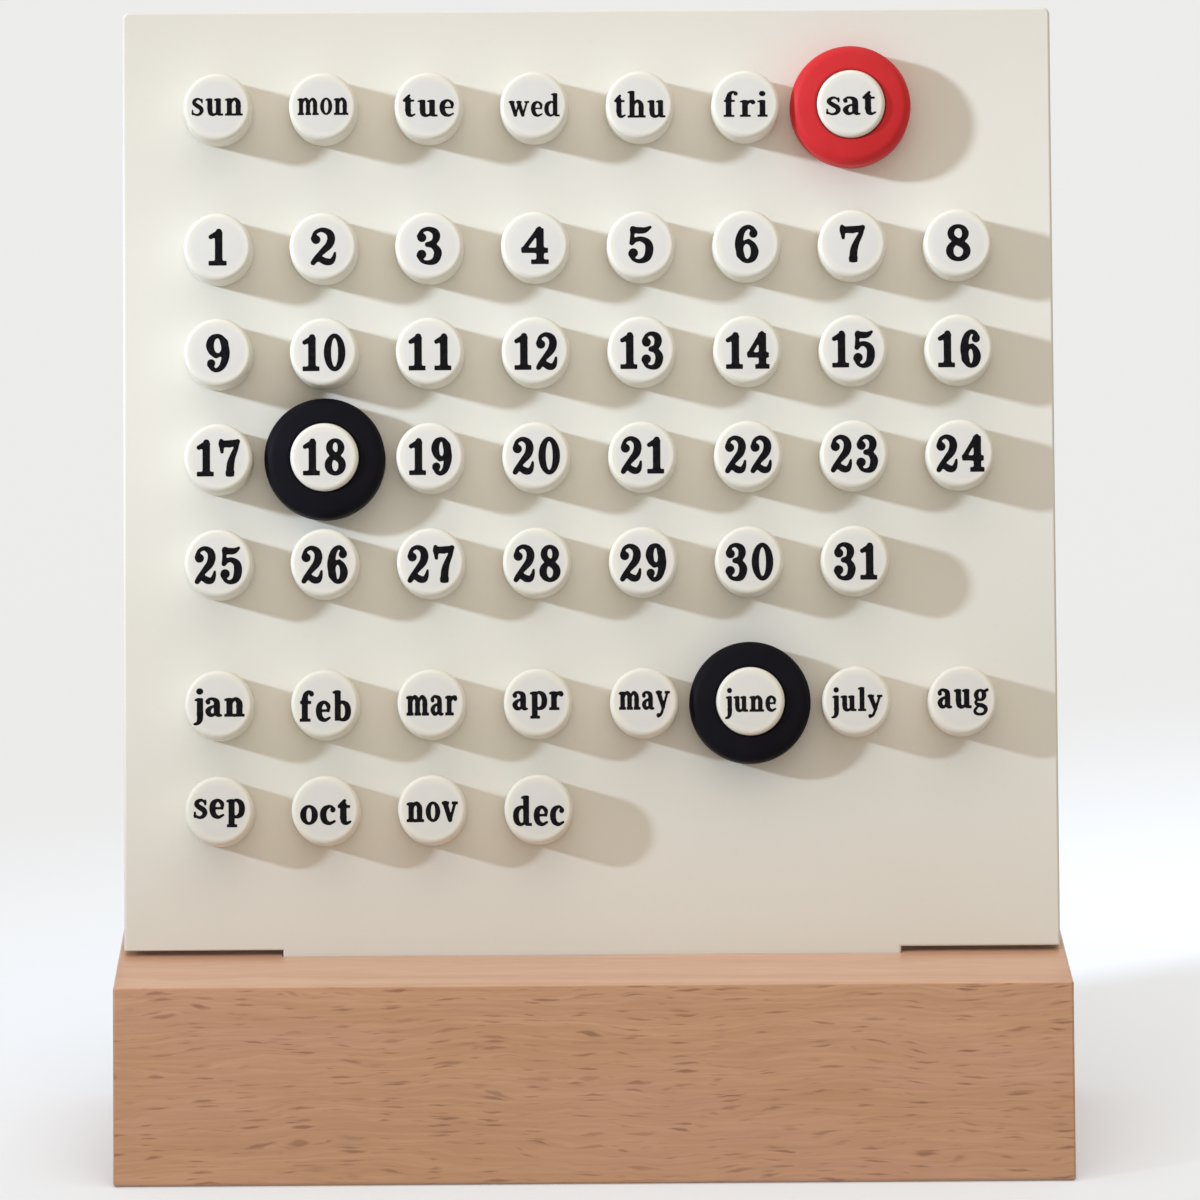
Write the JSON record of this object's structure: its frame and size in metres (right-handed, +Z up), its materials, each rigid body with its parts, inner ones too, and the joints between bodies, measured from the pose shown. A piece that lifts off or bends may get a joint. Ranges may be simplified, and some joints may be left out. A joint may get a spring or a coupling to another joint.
{
  "type": "perpetual desk calendar",
  "caption": "Desk calendar: a pale panel leaning in a beech block, with turned pegs for weekdays, dates and months, and loose rings that mark the day.",
  "frame": {"origin": "centre of the block's underside, midway between its front and rear lower edges", "axes": "+Z up, front towards -Y, +X to the viewer's right; the panel leans back towards +Y by 17 degrees"},
  "size_m": [0.161, 0.0852, 0.1868],
  "materials": {
    "beech": "oiled satin, steamed beech",
    "panel_paint": "matt warm-white paint on fibreboard",
    "peg_paint": "satin white paint with black printed labels",
    "red_ring": "matt",
    "black_ring": "matt"
  },
  "bodies": {
    "base": {"base_block": "beech"},
    "panel": {"calendar_panel": "panel_paint", "peg_sun": "peg_paint", "peg_mon": "peg_paint", "peg_tue": "peg_paint", "peg_wed": "peg_paint", "peg_thu": "peg_paint", "peg_fri": "peg_paint", "peg_sat": "peg_paint", "peg_day_01": "peg_paint", "peg_day_02": "peg_paint", "peg_day_03": "peg_paint", "peg_day_04": "peg_paint", "peg_day_05": "peg_paint", "peg_day_06": "peg_paint", "peg_day_07": "peg_paint", "peg_day_08": "peg_paint", "peg_day_09": "peg_paint", "peg_day_10": "peg_paint", "peg_day_11": "peg_paint", "peg_day_12": "peg_paint", "peg_day_13": "peg_paint", "peg_day_14": "peg_paint", "peg_day_15": "peg_paint", "peg_day_16": "peg_paint", "peg_day_17": "peg_paint", "peg_day_18": "peg_paint", "peg_day_19": "peg_paint", "peg_day_20": "peg_paint", "peg_day_21": "peg_paint", "peg_day_22": "peg_paint", "peg_day_23": "peg_paint", "peg_day_24": "peg_paint", "peg_day_25": "peg_paint", "peg_day_26": "peg_paint", "peg_day_27": "peg_paint", "peg_day_28": "peg_paint", "peg_day_29": "peg_paint", "peg_day_30": "peg_paint", "peg_day_31": "peg_paint", "peg_jan": "peg_paint", "peg_feb": "peg_paint", "peg_mar": "peg_paint", "peg_apr": "peg_paint", "peg_may": "peg_paint", "peg_june": "peg_paint", "peg_july": "peg_paint", "peg_aug": "peg_paint", "peg_sep": "peg_paint", "peg_oct": "peg_paint", "peg_nov": "peg_paint", "peg_dec": "peg_paint"},
    "weekday_ring": {"weekday_ring": "red_ring"},
    "date_ring": {"date_ring": "black_ring"},
    "month_ring": {"month_ring": "black_ring"}
  },
  "joints": [
    {"name": "panel_lift", "type": "slide", "parent": "base", "child": "panel", "axis": [0, 0.2924, 0.9563], "range_m": [0, 0.02]},
    {"name": "weekday_ring_slide", "type": "slide", "parent": "panel", "child": "weekday_ring", "axis": [0, -0.9563, 0.2924], "range_m": [0, 0.012]},
    {"name": "date_ring_slide", "type": "slide", "parent": "panel", "child": "date_ring", "axis": [0, -0.9563, 0.2924], "range_m": [0, 0.012]},
    {"name": "month_ring_slide", "type": "slide", "parent": "panel", "child": "month_ring", "axis": [0, -0.9563, 0.2924], "range_m": [0, 0.012]}
  ]
}
